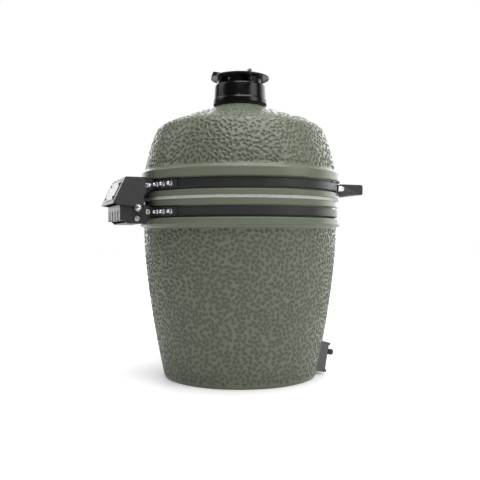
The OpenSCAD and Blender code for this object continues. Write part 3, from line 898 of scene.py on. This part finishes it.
def dial_print():
    """Ticks and plain numbers printed on the thermometer's dial."""
    ink = moulded("dial_ink", (0.01, 0.01, 0.01), 0.5, 0.00002)
    dial_ticks(ink)
    for index in range(len(NUMBERS)):
        dial_number(index, ink)


# ---------- CAD pieces that stay ----------
# Width of each rounded edge, in millimetres
EDGE = {
    "coated_steel": 0.5,
    "draft_steel": 0.45,
    "bright_fasteners": 0.25,
    "stainless": 0.3,
    "bronze": 0.3,
    "cast_iron": 0.9,
    "vent_casting": 0.6,
    "rubber_seal": 0.8,
    "thermometer_case": 0.4,
    "dial_face": 0.1,
    "lens_glass": 0.2,
    "needle_paint": 0.12,
    "brushed_plate": 0.3,
    "dark_screws": 0.3,
    "knob_plastic": 0.4,
    "bare_ceramic": 1.5,
    "band_pad": 0.5,
}


def finish_cad(node):
    """Gives a CAD piece its material, rounded edges and even shading."""
    piece, slot = NODES[node], SLOT_OF[node]
    mesh = piece.data
    mesh.materials.clear()
    mesh.materials.append(OWN_FINISH.get(node, FINISHES[slot]))
    if "custom_normal" in mesh.attributes:
        mesh.attributes.remove(mesh.attributes["custom_normal"])
    mesh.polygons.foreach_set("use_smooth", [True] * len(mesh.polygons))
    weld = piece.modifiers.new("weld", "WELD")
    weld.merge_threshold = 0.005 * MM
    flat = piece.modifiers.new("flat_faces", "DECIMATE")
    flat.decimate_type = "DISSOLVE"
    flat.angle_limit = math.radians(0.4)
    edge = piece.modifiers.new("edges", "BEVEL")
    edge.width = EDGE[slot] * MM
    edge.segments = 2
    edge.limit_method = "ANGLE"
    edge.angle_limit = math.radians(32)
    edge.harden_normals = False
    weigh_normals(piece)


# ---------- stage ----------
VIEW_ANGLE = math.radians(20.6)
VIEW_DISTANCE = 6.742 * FLANGE_R * MM
VIEW_HEIGHT = 357.2 * MM


def camera():
    """Level, 50 mm lens, at the photograph's distance and height, from the left and a little behind."""
    data = bpy.data.cameras.new("camera")
    data.lens, data.sensor_width = 50, 36
    made = bpy.data.objects.new("camera", data)
    bpy.context.scene.collection.objects.link(made)
    ahead = Vector((math.cos(VIEW_ANGLE), -math.sin(VIEW_ANGLE), 0))
    made.location = -ahead * VIEW_DISTANCE + Vector((0, 0, VIEW_HEIGHT))
    made.rotation_mode = "QUATERNION"
    made.rotation_quaternion = ahead.to_track_quat("-Z", "Y")
    bpy.context.scene.camera = made
    return ahead


def area_light(name, place, aim, size, power):
    """A rectangular light at a place, turned to shine at another."""
    data = bpy.data.lights.new(name, "AREA")
    data.shape = "RECTANGLE"
    data.size, data.size_y = size
    data.energy = power
    made = bpy.data.objects.new(name, data)
    bpy.context.scene.collection.objects.link(made)
    made.location = place
    made.rotation_mode = "QUATERNION"
    made.rotation_quaternion = (Vector(aim) - Vector(place)).to_track_quat("-Z", "Y")


# How far round from straight ahead the bright wall stands, and how much heights count less
WALL_TURN = math.radians(-14)
SQUEEZE = (1, 1, 2.2)


def white_room(ahead):
    """A world that is bright behind the grill and dim in front of it."""
    world = bpy.data.worlds.new("studio")
    bpy.context.scene.world = world
    world.use_nodes = True
    nodes, link = world.node_tree.nodes, world.node_tree.links.new
    squeezed = nodes.new("ShaderNodeVectorMath")
    squeezed.operation = "MULTIPLY"
    squeezed.inputs[1].default_value = SQUEEZE
    unit = nodes.new("ShaderNodeVectorMath")
    unit.operation = "NORMALIZE"
    along = nodes.new("ShaderNodeVectorMath")
    along.operation = "DOT_PRODUCT"
    along.inputs[1].default_value = Matrix.Rotation(WALL_TURN, 3, "Z") @ ahead
    link(nodes.new("ShaderNodeTexCoord").outputs["Generated"], squeezed.inputs[0])
    link(squeezed.outputs["Vector"], unit.inputs[0])
    link(unit.outputs["Vector"], along.inputs[0])
    path = nodes.new("ShaderNodeLightPath")
    strength = None
    # What matt surfaces get, what glossy ones mirror, and what the camera sees
    for dark, light, dim, full, ray in (
        (-0.1, 0.5, 0.07, 1.5, None),
        (0.3, 0.7, 0.05, 2.4, "Is Glossy Ray"),
        (-3, -2, 0, 1, "Is Camera Ray"),
    ):
        ramp = nodes.new("ShaderNodeMapRange")
        ramp.interpolation_type = "SMOOTHSTEP"
        limits = {"From Min": dark, "From Max": light, "To Min": dim, "To Max": full}
        for socket, value in limits.items():
            ramp.inputs[socket].default_value = value
        link(along.outputs["Value"], ramp.inputs["Value"])
        if ray is None:
            strength = ramp.outputs["Result"]
            continue
        mix = nodes.new("ShaderNodeMix")
        link(path.outputs[ray], mix.inputs["Factor"])
        link(strength, mix.inputs["A"])
        link(ramp.outputs["Result"], mix.inputs["B"])
        strength = mix.outputs["Result"]
    background = nodes["Background"]
    background.inputs["Color"].default_value = (1, 1, 1, 1)
    link(strength, background.inputs["Strength"])


def soft_lights(ahead):
    """A large light overhead, and two small ones far out at the sides."""
    side = Vector((ahead.y, -ahead.x, 0))
    centre = Vector((0, 0, 0.45))
    above = centre - ahead * 0.8 + side * 0.35 + Vector((0, 0, 2.2))
    left = centre - side * 2.2 + ahead * 0.2 + Vector((0, 0, 1.7))
    right = centre - ahead * 1.3 + side * 2.4 + Vector((0, 0, 1.0))
    area_light("above", above, centre, (2.5, 2.5), 82)
    area_light("left", left, centre, (1.4, 1.4), 10)
    area_light("right", right, centre, (1.4, 1.4), 13)


def pale_floor():
    """A white floor which glows to the camera as painted light: faintly near the grill, lightening its
    shadow there, and fully further out so that no horizon shows.
    """
    finish = Finish("floor", (0.86, 0.86, 0.86), 0.6, Emission_Color=(1, 1, 1, 1))
    finish.tint(finish.spread(finish.noise(3), 0.3, 0.7, 0, 0.5), (0.84, 0.84, 0.84))
    distance = finish.node("ShaderNodeVectorMath", operation="LENGTH")
    finish.link(finish.coordinates, distance.inputs[0])
    # Painted light for the camera only: a faint glow near the grill lightens its shadow, rising to full
    # glow further out
    glow = finish.node("ShaderNodeMath", operation="MULTIPLY")
    finish.link(finish.spread(distance.outputs["Value"], 0.2, 1.6, 0.2, 1), glow.inputs[0])
    finish.link(finish.node("ShaderNodeLightPath").outputs["Is Camera Ray"], glow.inputs[1])
    finish.link(glow.outputs["Value"], finish.shader.inputs["Emission Strength"])
    build = Build()
    build.turn([(12000, 0), (0, 0)], 96)
    floor = build.object("floor", [finish.material])
    floor.location.z = -0.2 * MM


for name in NODES:
    if SLOT_OF[name] in EDGE:
        finish_cad(name)
base_shell()
dome_shell()
gasket("base_gasket", 21)
gasket("dome_gasket", 22)
springs()
cooking_grid()
dial_print()
view_ahead = camera()
white_room(view_ahead)
soft_lights(view_ahead)
pale_floor()
bpy.context.scene.view_settings.view_transform = "Standard"
